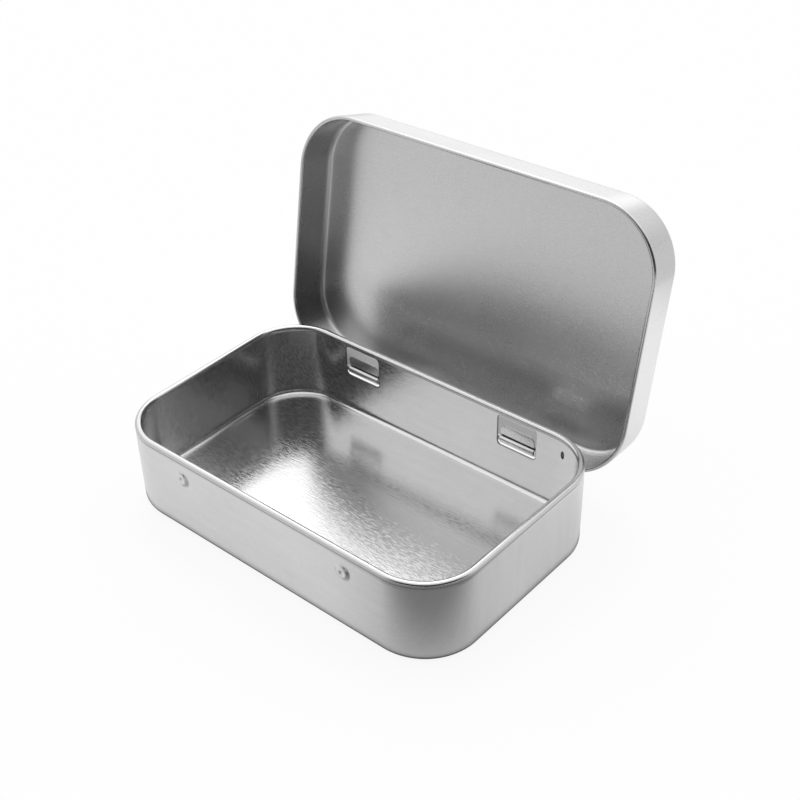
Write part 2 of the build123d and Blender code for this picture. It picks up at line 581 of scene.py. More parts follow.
    def window(self, opening: Opening) -> None:
        """Cut a rounded window, with its edge turned round through the sheet's thickness.

        Args:
            opening: The window.
        """
        reach_s, reach_z = opening.width / 2 + opening.margin, opening.height / 2 + opening.margin
        hole, (outer, inner), cells = self._hole(opening.s, opening.z, reach_s, reach_z, (False, True))
        rim, lip = opening.loop(opening.edge, *cells), opening.loop(0.0, *cells)
        loops = [outer]
        for t in self.HOLE_SHARES:
            at = hole + (rim - hole) * t
            loops.append(self._ring(at[:, 0], at[:, 1], self._skin(at[:, 1], False)))
        edge = opening.edge
        # The turned edge carries painted shade.
        for inside, turns in ((False, (0.5, 1.0)), (True, (1.0, 0.5, 0.0))):
            for turn in turns:
                angle = turn * QUARTER
                at = rim + (lip - rim) * math.sin(angle)
                sunk = edge * (1 - math.cos(angle))
                skin = self._skin(at[:, 1], inside) + (sunk if inside else -sunk)
                loops.append(self._ring(at[:, 0], at[:, 1], skin, opening.stain))
        for t in self.HOLE_SHARES[-2::-1]:
            at = hole + (rim - hole) * t
            loops.append(self._ring(at[:, 0], at[:, 1], self._skin(at[:, 1], True)))
        self.kit.strip(loops + [inner])

    def pip(self, mark: Pip) -> None:
        """Press an oval through its skins: rings shrink from the hole's edge to the oval's middle.

        Args:
            mark: The oval.
        """
        hole, edges, _ = self._hole(mark.s, mark.z, mark.margin, mark.margin, mark.skins)
        angle = np.arctan2(hole[:, 1] - mark.z, hole[:, 0] - mark.s)
        oval = np.stack([mark.half_s * np.cos(angle), mark.half_z * np.sin(angle)], -1)
        middle = np.array([mark.s, mark.z])
        for inside, edge in zip(mark.skins, edges):
            loops = [edge]
            for size in mark.RINGS:
                at = middle + oval * size
                skin = self._skin(at[:, 1], inside) + mark.lift(size)
                loops.append(self._ring(at[:, 0], at[:, 1], skin, mark.dark(size, angle)))
            tip = np.array([mark.s]), np.array([mark.z])
            centre = self._ring(*tip, self._skin(tip[1], inside) + mark.lift(0.0), mark.stain)
            if inside:
                loops = [loop[::-1] for loop in loops]
            self.kit.strip(loops)
            self.kit.fan(loops[-1], int(centre[0]))

    def build(self, name: str, place: Matrix) -> bpy.types.Object:
        """Join the walls, leaving the holes open, and make the object.

        Args:
            name: The piece's name.
            place: Turn and shift that is baked into the mesh.

        Returns:
            The shell.
        """
        wrapped = np.concatenate([self.numbers, self.numbers[:, :1]], axis=1)
        self.kit.grid(wrapped, self.keep)
        return self.kit.build(name, place)


@dataclass(frozen=True)
class RolledEdge:
    """A sheet edge rolled to a hollow bead, carried along an outline."""

    outline: Outline
    height: float
    roll: float
    sheet: float
    turn: float
    start: float = 0.0

    ROLL_CELLS = 36
    # Painted shade in the crease under the roll: how dark, where it starts and how it fades
    CREASE_SHADE = 0.62
    CREASE_SHADE_FROM = math.radians(182)
    CREASE_SHADE_EASE = math.radians(14)
    LIP_CELLS = 4

    def section(self) -> np.ndarray:
        """The bead's section as a closed loop: outside of the roll, round lip, inside of the roll.

        Returns:
            Offsets and heights, one row each.
        """
        centre = (-self.roll, self.height)
        end = self.start + self.turn
        outside = arc_profile(centre, self.roll, self.start, self.turn, self.ROLL_CELLS)
        inside = arc_profile(centre, self.roll - self.sheet, end, -self.turn, self.ROLL_CELLS)
        middle = self.roll - self.sheet / 2
        tip = (centre[0] + middle * math.cos(end), centre[1] + middle * math.sin(end))
        way = math.copysign(2 * QUARTER, self.turn)
        lip = arc_profile(tip, self.sheet / 2, end, way, self.LIP_CELLS)[1:-1]
        loop = np.concatenate([outside, lip, inside])
        return loop if self.turn > 0 else loop[::-1]

    def _crease_shade(self, loop: np.ndarray) -> np.ndarray:
        """Painted shade in the crease: dark on the side that looks back at the wall, faded by angle.

        Args:
            loop: The section's points.

        Returns:
            Darkness from 0 to 1, for each point.
        """
        side = 1.0 if self.turn > 0 else -1.0
        angle = np.mod(side * np.arctan2(loop[:, 1] - self.height, loop[:, 0] + self.roll), 4 * QUARTER)
        low, high = self.CREASE_SHADE_FROM, 4 * QUARTER - self.CREASE_SHADE_EASE
        fades = [low, low + self.CREASE_SHADE_EASE, high, high + self.CREASE_SHADE_EASE]
        return self.CREASE_SHADE * np.interp(angle, fades, [0, 1, 1, 0])

    def run(self, kit: MeshKit, s: np.ndarray, closed: bool) -> None:
        """Carry the section along arc lengths.

        Args:
            kit: Where the surface goes.
            s: Arc lengths of the stations.
            closed: True when the run joins itself, and False when its ends are capped.
        """
        loop = self.section()
        point, normal = self.outline.at(s)
        flat = point[None] + normal[None] * loop[:, 0][:, None, None]
        z = np.broadcast_to(loop[:, 1][:, None, None], flat.shape[:2] + (1,))
        steps = np.linalg.norm(np.diff(loop, axis=0, prepend=loop[:1]), axis=1)
        spun = point[None] + normal[None] * np.cumsum(steps)[:, None, None]
        # Painted shade in the crease
        stain = np.broadcast_to(self._crease_shade(loop)[:, None], flat.shape[:2])
        numbers = kit.add(np.concatenate([flat, z], axis=-1), spun, 0.0, stain)
        rows = np.concatenate([numbers, numbers[:1]])
        if closed:
            rows = np.concatenate([rows, rows[:, :1]], axis=1)
        else:
            self._cap(kit, numbers[:, 0], True)
            self._cap(kit, numbers[:, -1], False)
        kit.grid(rows)

    def _cap(self, kit: MeshKit, loop: np.ndarray, first: bool) -> None:
        """Close an end with quads across the sheet, and the lip with two triangles.

        Two faults are known here: these faces look into the sheet, and a third triangle, whose
        base spans the sheet between those two, is missing.

        Args:
            kit: Where the surface goes.
            loop: The end's vertex numbers.
            first: True for the run's first end.
        """
        n = self.ROLL_CELLS + 1
        walk = loop if self.turn > 0 else loop[::-1]
        outside, lip, inside = walk[:n], walk[n:-n], walk[-n:][::-1]
        rows = np.stack([outside, inside])
        if first == (self.turn > 0):
            rows = rows[::-1]
        kit.grid(rows)
        tip = np.concatenate([[outside[-1]], lip, [inside[-1]]])
        centre = tip[len(tip) // 2]
        pairs = np.stack([tip[:-1], tip[1:], np.full(len(tip) - 1, centre)], axis=-1)
        pairs = pairs[(pairs[:, 0] != centre) & (pairs[:, 1] != centre)]
        kit.quads(pairs[:, ::-1] if first == (self.turn > 0) else pairs)


# Finishes


class Wire:
    """A shader socket that takes part in Python sums, each of which adds its Math node."""

    def __init__(self, kit: "NodeKit", socket: Any) -> None:
        self.kit = kit
        self.socket = socket

    def _math(self, operation: str, first: Any, second: Any) -> "Wire":
        """Add a Math node of two values."""
        return self.kit.node("ShaderNodeMath", {"operation": operation}, {0: first, 1: second})

    def __add__(self, other: Any) -> "Wire":
        """Sum."""
        return self._math("ADD", self, other)

    __radd__ = __add__

    def __sub__(self, other: Any) -> "Wire":
        """Difference."""
        return self._math("SUBTRACT", self, other)

    def __rsub__(self, other: Any) -> "Wire":
        """Difference the other way round."""
        return self._math("SUBTRACT", other, self)

    def __mul__(self, other: Any) -> "Wire":
        """Product."""
        return self._math("MULTIPLY", self, other)

    __rmul__ = __mul__


class NodeKit:
    """Adds nodes to the tree of a material or the world."""

    def __init__(self, owner: Any) -> None:
        """Empty the owner's tree and keep it.

        Args:
            owner: A material or the world.
        """
        owner.use_nodes = True
        self.tree = owner.node_tree
        self.tree.nodes.clear()

    def node(
        self, kind: str, settings: dict[str, Any], inputs: dict[Any, Any], output: Any = 0
    ) -> Wire | None:
        """Add a node.

        Args:
            kind: The node's type.
            settings: Its properties, set first.
            inputs: Values or wires by socket name or number.
            output: The output wanted, by name or number.

        Returns:
            The output, wrapped, or None for a node that has none.
        """
        made = self.tree.nodes.new(kind)
        for key, value in settings.items():
            setattr(made, key, value)
        for key, value in inputs.items():
            if isinstance(value, Wire):
                self.tree.links.new(value.socket, made.inputs[key])
            else:
                made.inputs[key].default_value = value
        return Wire(self, made.outputs[output]) if len(made.outputs) else None

    def noise(self, where: Wire, size: float, detail: float, rough: float = 0.5) -> Wire:
        """Noise of a size at a place, from 0 to 1."""
        inputs = {"Vector": where, "Scale": 1 / size, "Detail": detail, "Roughness": rough}
        return self.node("ShaderNodeTexNoise", {"noise_dimensions": "3D"}, inputs)

    def ramp(self, value: Wire, low: float, high: float, first: float = 0.0, last: float = 1.0) -> Wire:
        """Ease a value from first to last as it goes from low to high.

        Args:
            value: What is eased.
            low: Where it starts.
            high: Where it ends.
            first: The result up to low.
            last: The result from high.

        Returns:
            The eased value.
        """
        settings = {"interpolation_type": "SMOOTHSTEP"}
        inputs = {"Value": value, "From Min": low, "From Max": high, "To Min": first, "To Max": last}
        return self.node("ShaderNodeMapRange", settings, inputs)

    def vector(self, operation: str, operands: list[Any], output: str = "Vector") -> Wire:
        """Vector Math of one or two vectors."""
        inputs = dict(enumerate(operands))
        return self.node("ShaderNodeVectorMath", {"operation": operation}, inputs, output)

    def dot(self, first: Wire, second: tuple[float, float, float]) -> Wire:
        """Dot product with a fixed vector."""
        return self.vector("DOT_PRODUCT", [first, second], "Value")

    def ray(self, kind: str) -> Wire:
        """One for a kind of ray, such as the camera's, and zero for others."""
        return self.node("ShaderNodeLightPath", {}, {}, f"Is {kind} Ray")

    def grey(self, value: Any) -> Wire:
        """A grey colour of a value."""
        return self.node("ShaderNodeCombineColor", {}, {"Red": value, "Green": value, "Blue": value})


@dataclass(frozen=True)
class Finish:
    """Satin tinplate: short rolled streaks along the blank, a fine grain, and soft clouds.

    The grain and the streaks roughen and bump the metal. The clouds and a few rub marks
    change its tone and its gloss by a little.
    """

    name: str
    tone: float
    gloss: float
    streak: float
    grain: float
    cloud: float
    grain_size: float = 0.36 * MM
    streak_width: float = 0.36 * MM
    streak_stretch: float = 5.0
    relief: float = 0.0062 * MM
    bend_matt: float = 0.02
    shade_and_stain_dark: float = 0.85
    worn: float = 0.0
    worn_depth: tuple[float, float] = (0.3 * MM, 0.8 * MM)
    worn_reach: tuple[float, float] = (-6 * MM, 10 * MM)
    worn_side: tuple[float, float] = (-26 * MM, -6 * MM)

    # Shapes of the patterns: a streak's ramp, the broad bands against the streaks, clouds and rubs
    STREAK_RAMP = (0.32, 0.72)
    BAND_WIDTHS = 6
    BAND_STRETCH = 8
    CLOUD_SIZE = 14 * MM
    RUB_SIZE = 5 * MM
    RUB_RAMP = (0.52, 0.75)

    # How far each pattern moves the tone and the gloss, about its middle, and the relief
    MIDDLE = 0.5
    STREAK_MIDDLE = 0.3
    TONE_CLOUD, TONE_BAND, TONE_GRAIN, TONE_RUB = 0.4, 0.06, 0.45, 0.10
    GLOSS_STREAK, GLOSS_GRAIN, GLOSS_CLOUD, GLOSS_RUB = 0.10, 0.12, 0.22, 0.08
    RELIEF_BAND, BENT_FLAT = 0.8, 0.85

    def build(self) -> Any:
        """Make the material.

        Returns:
            The material.
        """
        material = bpy.data.materials.new(self.name)
        kit = NodeKit(material)
        blank = kit.node("ShaderNodeUVMap", {"uv_map": "blank"}, {}, "UV")
        solid = kit.node("ShaderNodeTexCoord", {}, {}, "Object")
        scale = BLANK_UNIT / self.streak_width
        stretched = (scale / self.streak_stretch, scale, scale)
        along = kit.node("ShaderNodeMapping", {}, {"Vector": blank, "Scale": stretched})
        streaks = kit.ramp(kit.noise(along, 1.0, 2.0), *self.STREAK_RAMP)
        broad = BLANK_UNIT / (self.streak_width * self.BAND_WIDTHS)
        stretched = (broad / self.BAND_STRETCH, broad, broad)
        wide = kit.node("ShaderNodeMapping", {}, {"Vector": blank, "Scale": stretched})
        bands = kit.noise(wide, 1.0, 2.0)
        grain = kit.noise(solid, self.grain_size, 2.0, 0.6)
        clouds = kit.noise(solid, self.CLOUD_SIZE, 3.0)
        rubs = kit.ramp(kit.noise(solid, self.RUB_SIZE, 4.0, 0.6), *self.RUB_RAMP)
        tone = self.tone + (clouds - self.MIDDLE) * (self.cloud * self.TONE_CLOUD)
        tone = tone + (bands - self.MIDDLE) * (self.streak * self.TONE_BAND)
        tone = tone + (grain - self.MIDDLE) * (self.grain * self.TONE_GRAIN)
        tone = tone - rubs * (self.cloud * self.TONE_RUB)
        bend = kit.node("ShaderNodeAttribute", {"attribute_name": "bend"}, {}, "Fac")
        stain = kit.node("ShaderNodeAttribute", {"attribute_name": "stain"}, {}, "Fac")
        # Painted shade from the mesh, and the mark's own darkening, make the tone darker.
        tone = tone * (1.0 - stain * self.shade_and_stain_dark)
        gloss = self.gloss + (streaks - self.STREAK_MIDDLE) * (self.streak * self.GLOSS_STREAK)
        gloss = gloss + (grain - self.MIDDLE) * (self.grain * self.GLOSS_GRAIN)
        gloss = gloss + (clouds - self.MIDDLE) * (self.cloud * self.GLOSS_CLOUD)
        gloss = gloss + rubs * (self.cloud * self.GLOSS_RUB) + bend * self.bend_matt
        floor = kit.ramp(kit.dot(solid, UPWARD), *self.worn_depth, self.worn, 0.0)
        floor = floor * kit.ramp(kit.dot(solid, ALONG), *self.worn_side)
        gloss = gloss + floor * kit.ramp(kit.dot(solid, BACKWARD), *self.worn_reach, 1.0, 0.0)
        relief = streaks * self.streak + grain * self.grain + bands * (self.streak * self.RELIEF_BAND)
        relief = relief * (1.0 - bend * self.BENT_FLAT)
        heights = {"Height": relief, "Strength": 1.0, "Distance": self.relief}
        bump = kit.node("ShaderNodeBump", {}, heights, "Normal")
        inputs = {"Base Color": kit.grey(tone), "Metallic": 1.0, "Roughness": gloss, "Normal": bump}
        skin = kit.node("ShaderNodeBsdfPrincipled", {}, inputs)
        kit.node("ShaderNodeOutputMaterial", {}, {"Surface": skin})
        return material


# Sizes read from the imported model


def node_points(node: str) -> np.ndarray:
    """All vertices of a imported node, one row each.

    Args:
        node: The node's name.

    Returns:
        Places, with a last axis of 3.
    """
    mesh = frame["nodes"][node].data
    flat = np.empty(len(mesh.vertices) * 3)
    mesh.vertices.foreach_get("co", flat)
    return flat.reshape(-1, 3)


@dataclass(frozen=True)
class Hinge:
    """The hinge's axis and how far the lid is open in the rest pose."""

    y: float
    z: float
    open_angle: float

    @classmethod
    def from_frame(cls) -> "Hinge":
        """Read the only joint."""
        joint = frame["joints"][0]
        return cls(joint["pos_m"][1], joint["pos_m"][2], math.radians(joint["range_deg"][1]))

    @property
    def opened(self) -> Matrix:
        """The turn from shut to the rest pose."""
        axis = Matrix.Translation((0, self.y, self.z))
        return axis @ Matrix.Rotation(-self.open_angle, 4, "X") @ axis.inverted()

    def shut_box(self, node: str) -> tuple[np.ndarray, np.ndarray]:
        """Lowest and highest corner of a lid node when the lid is shut.

        Args:
            node: The node's name.

        Returns:
            The two corners.
        """
        turn = np.array(self.opened.inverted())
        points = node_points(node) @ turn[:3, :3].T + turn[:3, 3]
        return points.min(axis=0), points.max(axis=0)


@dataclass
class Tin:
    """Sizes that the tray and the lid share."""

    hinge: Hinge
    sheet: float = 0.25 * MM
    lid_corner: float = 14.8 * MM
    roll_radius: float = 1.0 * MM

    def ride(self, piece: bpy.types.Object, body: Body, slot: Slot, nodes: list[str]) -> None:
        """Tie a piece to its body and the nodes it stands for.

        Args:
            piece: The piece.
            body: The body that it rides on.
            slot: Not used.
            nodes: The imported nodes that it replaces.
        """
        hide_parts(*nodes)
        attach(piece, body.value)
        LOG.info("%s stands for %s, %d faces", piece.name, ", ".join(nodes), len(piece.data.polygons))


@dataclass
class Tray:
    """The deep lower shell with its rim, its windows and its pips."""

    tin: Tin
    bottom_radius: float = 1.6 * MM
    window_corner: float = 1.0 * MM
    window_height: float = 7.9 * MM
    window_side_clearance: float = 0.6 * MM
    window_sill_clearance: float = 0.3 * MM
    window_margin: float = 1.0 * MM
    window_edge: float = 0.05 * MM
    pip_radius: float = 2.0 * MM
    pip_rise: float = 0.35 * MM
    pip_dent: float = 0.18 * MM
    # Painted shade on one side of each pip
    pip_side_shade: float = 0.55
    pip_spacing: float = 46.0 * MM
    pip_below_top: float = 5.1 * MM
    pip_margin: float = 2.8 * MM
    rim_turn: float = math.radians(275)
    neck_drop: float = 0.7 * MM
    neck_angle: float = math.radians(32)
    # Painted shade on the neck under the bead, outside and inside
    neck_shade: tuple[float, float] = (0.45, 0.60)
    mark_half: tuple[float, float] = (0.50 * MM, 1.05 * MM)
    mark_depth: float = 0.17 * MM
    mark_from_back: float = 2.0 * MM
    mark_z: float = 15.0 * MM
    wander: float = 0.03 * MM

    # Cells up the wall, and along half of the front, between the stops that marks and windows need
    WALL_CELLS = (7, 6, 8, 12)
    FRONT_CELLS = (12, 8, 8, 6, 4)

    def __post_init__(self) -> None:
        """Read the tray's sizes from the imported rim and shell."""
        low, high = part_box("tray_rim")
        self.height = high.z
        self.rim_roll = (high.z - low.z) / 2
        self.wall_top = self.height - self.rim_roll
        _, lid_high = self.tin.hinge.shut_box("lid")
        overhang = lid_high[0] - high.x
        self.outline = Outline(2 * high.x, 2 * high.y, self.tin.lid_corner - overhang)
        tongue_low, tongue_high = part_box("hinge_tongue_right")
        self.hinge_x = (tongue_low.x + tongue_high.x) / 2
        self.tongue_width = tongue_high.x - tongue_low.x

    def shell(self) -> bpy.types.Object:
        """Press the shell, with its windows, pips and the mark inside the back right corner.

        Returns:
            The tray's shell.
        """
        sheet, radius = self.tin.sheet, self.bottom_radius
        pip_z = self.height - self.pip_below_top
        sill = self.tin.hinge.z - self.tin.roll_radius - self.window_sill_clearance
        shell_top = self.wall_top - self.rim_roll * math.sin(self.neck_angle)
        pip_low, pip_high = pip_z - self.pip_margin, pip_z + self.pip_margin
        rows = spread([radius, sill - self.window_margin, pip_low, pip_high, shell_top], self.WALL_CELLS)
        # The wall eases in under the bead, with painted shade there, outside and inside
        neck = eased((rows - shell_top + self.neck_drop) / self.neck_drop)
        inset = self.rim_roll * (1 - math.cos(self.neck_angle))
        outside, inside = (
            np.stack([-inset * neck, rows, np.zeros(len(rows)), stain * neck**3], -1)
            for stain in self.neck_shade
        )
        centre = (-radius, radius)
        foot = bent(arc_profile(centre, radius, -QUARTER, QUARTER, BEND_CELLS))[:-1]
        outer = np.concatenate([foot, outside])
        bend = bent(arc_profile(centre, radius - sheet, 0.0, -QUARTER, BEND_CELLS))[1:]
        inner = np.concatenate([inside[::-1] - np.array([sheet, 0.0, 0.0, 0.0]), bend])
        window_half = self.tongue_width / 2 + self.window_side_clearance + self.window_margin
        pip_x = self.pip_spacing / 2
        half = self.outline.half_front
        low, high = self.hinge_x - window_half, self.hinge_x + window_half
        stops = [0.0, low, pip_x - self.pip_margin, pip_x + self.pip_margin, high, half]
        shell = PressedShell(self.outline, outer, inner, (stops, self.FRONT_CELLS), self.wander)
        shell.sheet()
        back = self.outline.back_start + half
        for side in (-1, 1):
            window = Opening(
                back - side * self.hinge_x, sill + self.window_height / 2,
                self.tongue_width + 2 * self.window_side_clearance, self.window_height,
                self.window_corner, self.window_margin, self.window_edge,
            )
            shell.window(window)
            at = side * pip_x % self.outline.around
            sizes = (self.pip_radius, self.pip_radius, self.pip_rise, self.pip_dent, self.pip_margin)
            shell.pip(Pip(at, pip_z, *sizes, side_shade=self.pip_side_shade))
        # The mark is a shallow dent in the inside, with its tone darkened fully.
        mark_s = self.outline.back_start - self.mark_from_back
        sizes = (*self.mark_half, self.mark_depth, 0.0, self.pip_margin)
        shell.pip(Pip(mark_s, self.mark_z, *sizes, skins=(True,), stain=1.0))
        return shell.build("tray_shell", Matrix.Identity(4))

    def rim(self) -> bpy.types.Object:
        """Roll the mouth's edge up and over to the inside.

        Returns:
            The tray's bead.
        """
        kit = MeshKit()
        turn = self.rim_turn + self.neck_angle
        sizes = (self.wall_top, self.rim_roll, self.tin.sheet, turn, -self.neck_angle)
        RolledEdge(self.outline, *sizes).run(kit, ring_stations(self.outline), True)
        return kit.build("tray_rolled_rim", Matrix.Identity(4))


def ring_stations(line: Outline) -> np.ndarray:
    """Stations once round an outline for a bead, without the closing one.

    Args:
        line: The outline.

    Returns:
        Arc lengths, from the middle of the front.
    """
    front, corner, side = RING_CELLS
    lengths = [line.half_front, line.arc, line.side, line.arc, 2 * line.half_front,
               line.arc, line.side, line.arc, line.half_front]
    counts = [front, corner, side, corner, 2 * front, corner, side, corner, front]
    stops = [0.0] + list(np.cumsum(lengths))
    return spread(stops, counts)[:-1]


@dataclass
class Lid:
    """The shallow upper shell with its rim and the two hinge tongues."""

    tin: Tin
    panel_radius: float = 1.3 * MM
    # Painted shade on the inside of the skirt
    inner_skirt_shade: float = 0.28
    # Darker tone on the outer panel
    outer_panel_darkening: float = 0.22
    draft: float = math.radians(5.4)
    rim_turn: float = math.radians(-290)
    rim_clearance: float = 0.3 * MM
    tongue_root: float = 0.05 * MM
    tongue_roll: float = math.radians(165)
    fold: float = math.radians(140)
    fold_radius: float = 0.20 * MM
    fold_leg: float = 0.50 * MM
    # Painted shade in the tongue's fold
    fold_shade: float = 1.0
    bend_radius: float = 0.25 * MM
    flange: float = 2.30 * MM
    tip_radius: float = 1.3 * MM
    tongue_edge: float = 0.05 * MM
    wander: float = 0.025 * MM

    # The fold's painted shade starts a lead before the fold, is full a fade before it, and ends a fade
    # past it
    fold_shade_lead: float = 0.5 * MM
    fold_shade_fade: float = 0.2 * MM

    # No station lies nearer than this to a bead's end
    END_STEP = 0.1 * MM

    # Cells up the skirt, along half of the front, and along the short bead
    SKIRT_CELLS, FRONT_CELLS, BACK_CELLS = 12, 30, 23

    # Cells round the tongue's roll and a fold, along its straight and round its tip and its edge
    ROLL_CELLS, FOLD_CELLS, STRAIGHT_CELLS, TIP_CELLS, EDGE_CELLS = 48, 16, 6, 12, 4

    def __post_init__(self) -> None:
        """Read the lid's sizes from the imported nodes, turned shut."""
        low, high = self.tin.hinge.shut_box("lid")
        rim_low, _ = self.tin.hinge.shut_box("lid_rim")
        self.outline = Outline(2 * high[0], 2 * high[1], self.tin.lid_corner)
        self.skirt_edge = low[2]
        self.top = high[2]
        self.rim_roll = low[2] - rim_low[2]
        bar_low, bar_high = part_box("hinge_bar_right")
        tongue_low, tongue_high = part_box("hinge_tongue_right")
        self.bar_length = bar_high.x - bar_low.x
        self.hinge_x = (bar_low.x + bar_high.x) / 2
        self.tongue_width = tongue_high.x - tongue_low.x

    def _side(self, inset: float) -> np.ndarray:
        """Section of one skin from the skirt's edge up to the flat panel.

        The wall leans in by the draft, and an arc joins it to the panel: its centre lies one
        radius under the panel and one radius inside the wall, measured square to it.

        Args:
            inset: Thickness taken off the outside.

        Returns:
            Offsets and heights from the skirt's edge to the start of the panel.
        """
        radius = self.panel_radius - inset
        centre_z = self.top - inset - radius
        lean = math.tan(self.draft)
        centre_o = -inset - (centre_z - self.skirt_edge) * lean - radius / math.cos(self.draft)
        bend = arc_profile((centre_o, centre_z), radius, self.draft, QUARTER - self.draft, BEND_CELLS)
        z = np.linspace(self.skirt_edge, bend[0, 1], self.SKIRT_CELLS, endpoint=False)
        # Painted shade on the inside of the skirt
        skirt_shade = np.full(len(z), self.inner_skirt_shade if inset else 0.0)
        wall = np.stack([-inset - (z - self.skirt_edge) * lean, z, np.zeros(len(z)), skirt_shade], -1)
        return np.concatenate([wall, bent(bend)])

    def shell(self) -> bpy.types.Object:
        """Press the shell: the inside first, so that the section's faces look out of the sheet.

        Returns:
            The lid's shell.
        """
        outer, inner = self._side(0.0), self._side(self.tin.sheet)
        stops = ([0.0, self.outline.half_front], [self.FRONT_CELLS])
        shell = PressedShell(self.outline, inner[::-1], outer, stops, self.wander, self.outer_panel_darkening)
        shell.sheet()
        return shell.build("lid_shell", self.tin.hinge.opened)

    def rims(self) -> list[tuple[bpy.types.Object, str]]:
        """Roll the skirt's edge down and under, in a long run and a short one between the hinges.

        Returns:
            Each bead, with the name of the node that it stands for.
        """
        line = self.outline
        edge = RolledEdge(line, self.skirt_edge, self.rim_roll, self.tin.sheet, self.rim_turn)
        middle = line.back_start + line.half_front
        gap = self.bar_length / 2 + self.rim_clearance
        ends = middle - self.hinge_x + gap, middle + self.hinge_x - gap
        short = np.linspace(*ends, self.BACK_CELLS + 1)
        around = ring_stations(line)
        begin, end = middle + self.hinge_x + gap, middle - self.hinge_x - gap
        after, before = around[around > begin + self.END_STEP], around[around < end - self.END_STEP]
        long = np.concatenate([[begin], after, before + line.around, [end + line.around]])
        made = []
        for run, end in ((long, ""), (short, "_back")):
            kit = MeshKit()
            edge.run(kit, run, False)
            made.append((kit.build(f"lid_rolled_rim{end}", self.tin.hinge.opened), f"lid_rim{end}"))
        return made

    def _tongue_line(self) -> tuple[np.ndarray, np.ndarray]:
        """The tongue's middle line with the lid shut, as distances behind and above the hinge axis.

        It runs down from the skirt, round the axis by the roll, over in a tight fold with a
        short leg, back by a bend of the other sense, and on straight as the flange.

        Returns:
            Points and unit directions along the line.
        """
        middle = self.tin.roll_radius - self.tin.sheet / 2
        roll = -np.linspace(0.0, self.tongue_roll, self.ROLL_CELLS + 1)
        rolled = middle * np.stack([np.cos(roll), np.sin(roll)], -1)
        points = [np.array([[middle, self.tongue_root]]), rolled]
        headings = [np.array([-QUARTER]), roll - QUARTER]
        back_bend = self.fold - (self.tin.hinge.open_angle + self.tongue_roll - 2 * QUARTER)
        plain = np.linspace(0.0, self.flange - self.tip_radius, self.STRAIGHT_CELLS + 1)[1:]
        round_tip = np.sin(np.linspace(0.0, QUARTER, self.TIP_CELLS + 1)[1:])
        tip = self.flange - self.tip_radius * (1 - round_tip)
        for turn, radius, along in (
            (self.fold, self.fold_radius, np.array([self.fold_leg])),
            (-back_bend, -self.bend_radius, np.concatenate([plain, tip])),
        ):
            heading = headings[-1][-1]
            angle = heading + np.linspace(0.0, turn, self.FOLD_CELLS + 1)[1:]
            centre = points[-1][-1] + radius * np.array([-math.sin(heading), math.cos(heading)])
            bend = centre + radius * np.stack([np.sin(angle), -np.cos(angle)], -1)
            way = np.array([math.cos(angle[-1]), math.sin(angle[-1])])
            points += [bend, bend[-1] + along[:, None] * way]
            headings += [angle, np.full(len(along), angle[-1])]
        turns = np.concatenate(headings)
        return np.concatenate(points), np.stack([np.cos(turns), np.sin(turns)], -1)

    def tongue(self, x: float, name: str) -> bpy.types.Object:
        """Carry a thin round-edged strip along the tongue's line, narrowed round its tip's corners.

        Args:
            x: The hinge's place along the tin.
            name: The piece's name.

        Returns:
            The tongue.
        """
        line, way = self._tongue_line()
        across = np.stack([-way[:, 1], way[:, 0]], -1)
        gone = np.concatenate([[0.0], np.cumsum(np.linalg.norm(np.diff(line, axis=0), axis=1))])
        left = np.clip(self.tip_radius - (gone[-1] - gone), 0.0, None)
        half = self.tongue_width / 2 - self.tip_radius + np.sqrt(self.tip_radius**2 - left**2)
        thick, edge = self.tin.sheet / 2, self.tongue_edge
        corner = np.linspace(0.0, QUARTER, self.EDGE_CELLS + 1)
        quarter = np.stack([np.sin(corner) * edge, np.cos(corner) * edge], -1)
        section = []
        for sx, sz in ((1, 1), (1, -1), (-1, -1), (-1, 1)):
            part = quarter * np.array([sx, sz])
            anchor = np.tile(np.array([sx, sz * (thick - edge)]), (len(part), 1))
            both = np.concatenate([anchor, part], axis=1)
            section.append(both if sx * sz > 0 else both[::-1])
        loop = np.concatenate(section)
        width = loop[:, 0][None] * (half[:, None] - edge) + loop[:, 2][None]
        height = (loop[:, 1] + loop[:, 3])[None]
        y = line[:, 0][:, None] + across[:, 0][:, None] * height + self.tin.hinge.y
        z = line[:, 1][:, None] + across[:, 1][:, None] * height + self.tin.hinge.z
        points = np.stack([x + width, y, z], -1)
        blanks = np.stack([x + width, np.broadcast_to(gone[:, None], width.shape)], -1)
        kit = MeshKit()
        # Painted shade along the tongue's fold
        rolled = self.tongue_root + (self.tin.roll_radius - self.tin.sheet / 2) * self.tongue_roll
        folded = rolled + self.fold_radius * self.fold
        fades = [rolled - self.fold_shade_lead, rolled - self.fold_shade_fade, folded, folded + self.fold_shade_fade]
        crease = np.interp(gone, fades, [0, 1, 1, 0])
        numbers = kit.add(points, blanks, 0.0, self.fold_shade * crease[:, None])
        kit.grid(np.concatenate([numbers, numbers[:, :1]], axis=1))
        for row, flip in ((0, True), (-1, False)):
            ring = numbers[row]
            n = len(ring) // 2
            pairs = np.stack([ring[:n], ring[::-1][:n]])
            kit.grid(pairs[::-1] if flip else pairs)
        return kit.build(name, self.tin.hinge.opened)


# The studio


